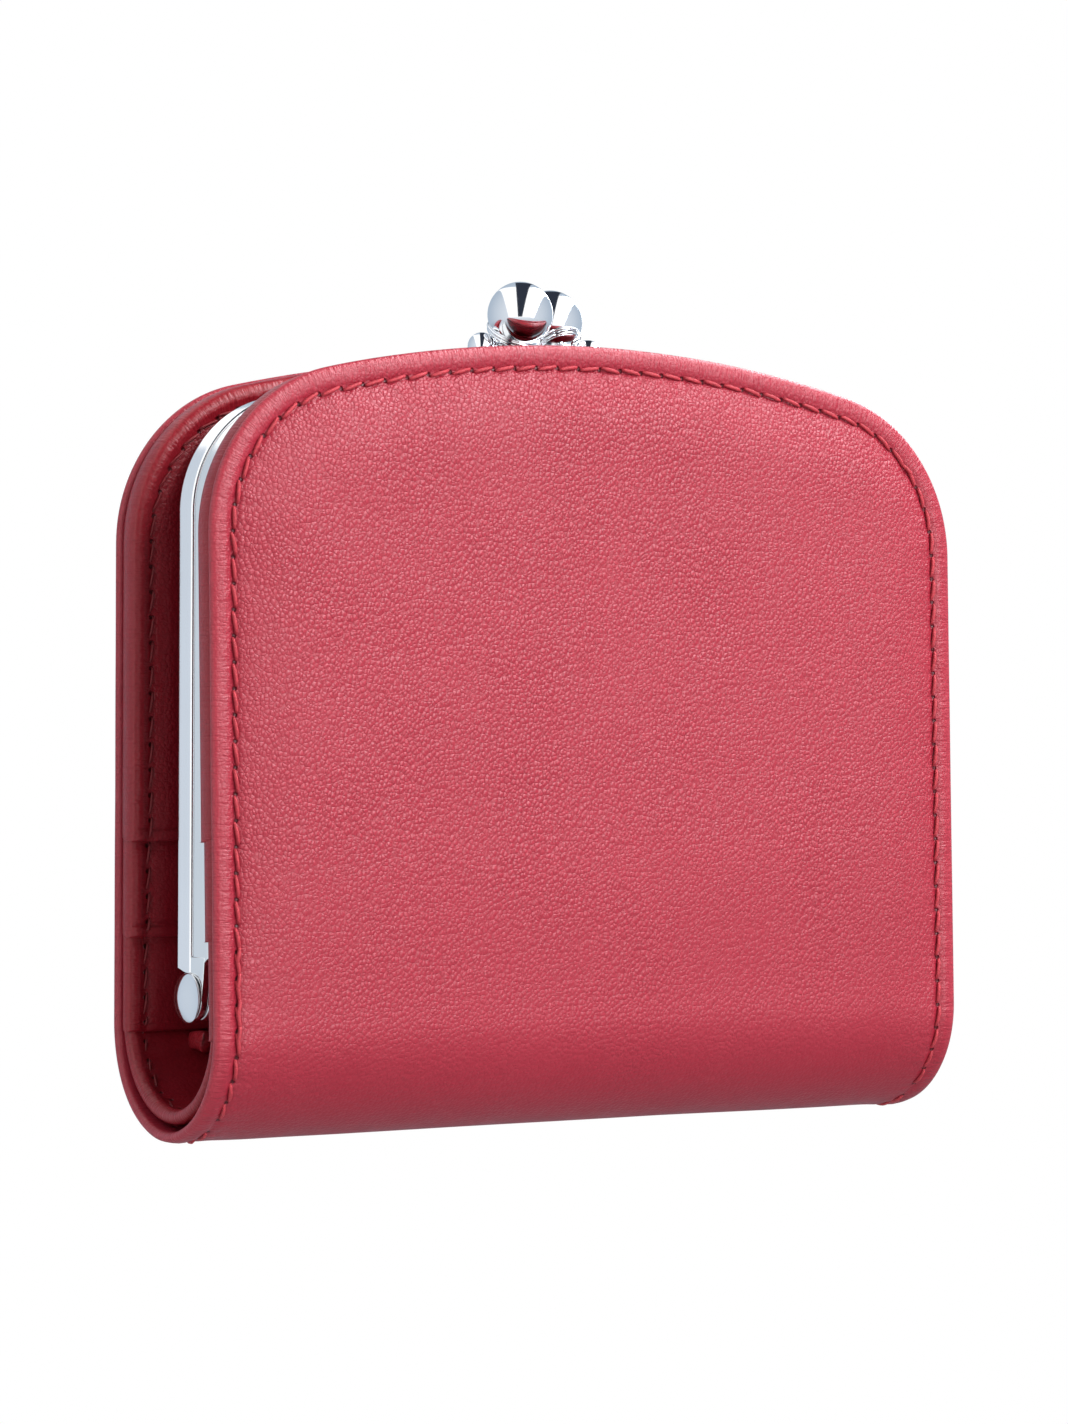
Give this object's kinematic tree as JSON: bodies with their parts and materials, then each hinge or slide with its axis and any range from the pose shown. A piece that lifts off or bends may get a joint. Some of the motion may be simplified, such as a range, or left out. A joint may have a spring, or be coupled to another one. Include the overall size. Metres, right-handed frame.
{
  "type": "kiss lock frame purse",
  "caption": "Bifold leather wallet with an arched top, card pockets in both covers and a framed coin pouch with a kiss lock clasp between them.",
  "frame": {"origin": "centre of the flat padded middle of the rear cover, which the closed purse lies on", "axes": "+Z from the rear cover to the front cover, +Y from the fold towards the clasp, X along the fold"},
  "size_m": [0.105, 0.1021, 0.0286],
  "materials": {
    "outer_leather": "satin",
    "lining_leather": "satin",
    "pouch_leather": "satin",
    "nickel": "polished",
    "padding": "matte",
    "board": "matte",
    "paper_cord": "matte"
  },
  "bodies": {
    "rear_cover": {"rear_cover_leather": "outer_leather", "rear_lining": "lining_leather", "rear_card_pocket_low": "lining_leather", "rear_card_pocket_mid": "lining_leather", "rear_card_pocket_high": "lining_leather", "rear_padding": "padding", "rear_stiffener": "board", "page_tab": "pouch_leather", "pouch_rear_wall": "pouch_leather", "pouch_bottom": "pouch_leather", "left_gusset": "lining_leather", "right_gusset": "lining_leather", "rear_half_frame": "nickel", "rear_frame_cord": "paper_cord", "left_hinge_rivet": "nickel", "right_hinge_rivet": "nickel", "rear_clasp_arm": "nickel", "rear_clasp_ball": "nickel"},
    "fold_rear": {"spine_cover_rear": "outer_leather", "spine_lining_rear": "lining_leather"},
    "fold_front": {"spine_cover_front": "outer_leather", "spine_lining_front": "lining_leather"},
    "front_cover": {"front_cover_leather": "outer_leather", "front_lining": "lining_leather", "front_card_pocket_low": "lining_leather", "front_card_pocket_mid": "lining_leather", "front_card_pocket_high": "lining_leather", "front_padding": "padding", "front_stiffener": "board"},
    "purse_front": {"front_half_frame": "nickel", "front_frame_cord": "paper_cord", "front_clasp_arm": "nickel", "front_clasp_ball": "nickel", "pouch_front_wall": "pouch_leather"}
  },
  "joints": [
    {"name": "cover_open", "type": "hinge", "parent": "rear_cover", "child": "fold_rear", "pos_m": [0, -0.04105, 0.00359], "axis": [1, 0, 0], "range_deg": [0, 63.35]},
    {"name": "fold_middle", "type": "hinge", "parent": "fold_rear", "child": "fold_front", "pos_m": [0, -0.04675, 0.0147], "axis": [1, 0, 0], "range_deg": [0, 55]},
    {"name": "cover_unroll", "type": "hinge", "parent": "fold_front", "child": "front_cover", "pos_m": [0, -0.04072, 0.02564], "axis": [1, 0, 0], "range_deg": [0, 63.35]},
    {"name": "frame_open", "type": "hinge", "parent": "rear_cover", "child": "purse_front", "pos_m": [0, -0.03045, 0.0108], "axis": [1, 0, 0], "range_deg": [0, 55]}
  ],
  "couplings": [
    {"joint": "cover_unroll", "follows": "cover_open", "ratio": 1},
    {"joint": "frame_open", "follows": "fold_middle", "ratio": 1}
  ]
}
